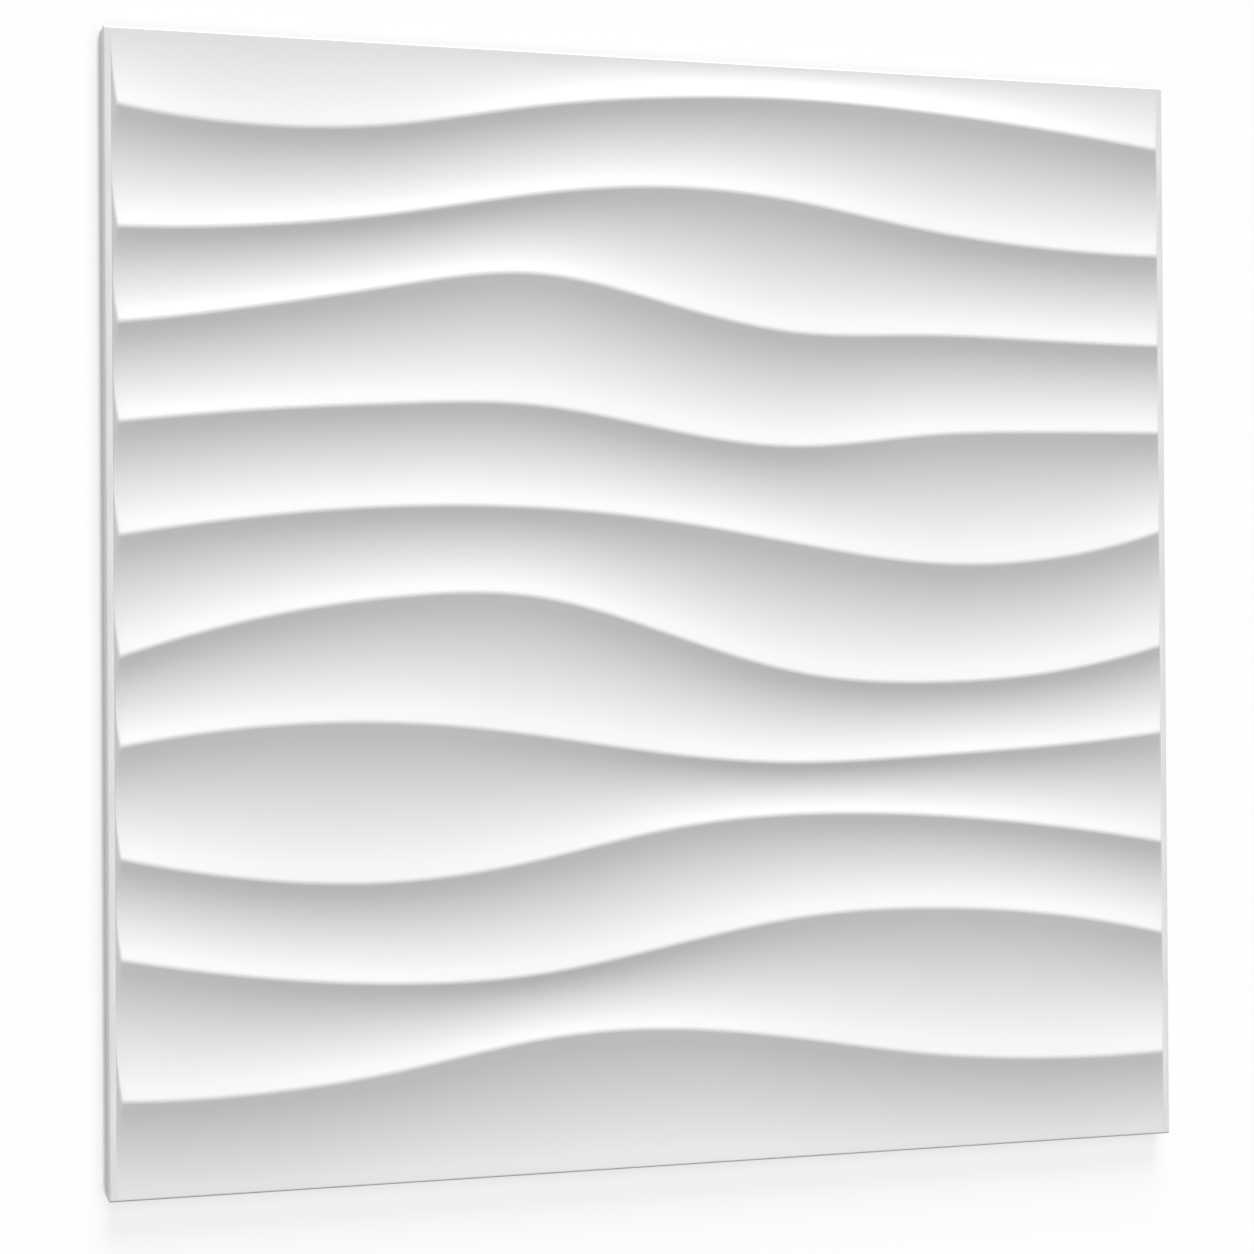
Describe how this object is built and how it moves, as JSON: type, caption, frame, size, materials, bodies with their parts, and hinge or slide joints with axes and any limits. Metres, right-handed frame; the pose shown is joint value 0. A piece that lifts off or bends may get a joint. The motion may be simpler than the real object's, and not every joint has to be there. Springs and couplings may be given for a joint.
{
  "type": "3d wall panel tile",
  "caption": "Square white moulded wall panel with flowing horizontal wave ridges, flat end strips, plain edges and a hollow back, to be fixed side by side on a wall.",
  "frame": {"origin": "middle of the panel, on the plane of its back rim", "axes": "+X along the waves to the right of the face, +Y up the face, +Z out of the wall; the panel lies on its back"},
  "size_m": [0.5, 0.5, 0.0156],
  "materials": {
    "white_sheet": "satin white"
  },
  "bodies": {
    "root": {"wave_panel": "white_sheet"}
  },
  "joints": []
}
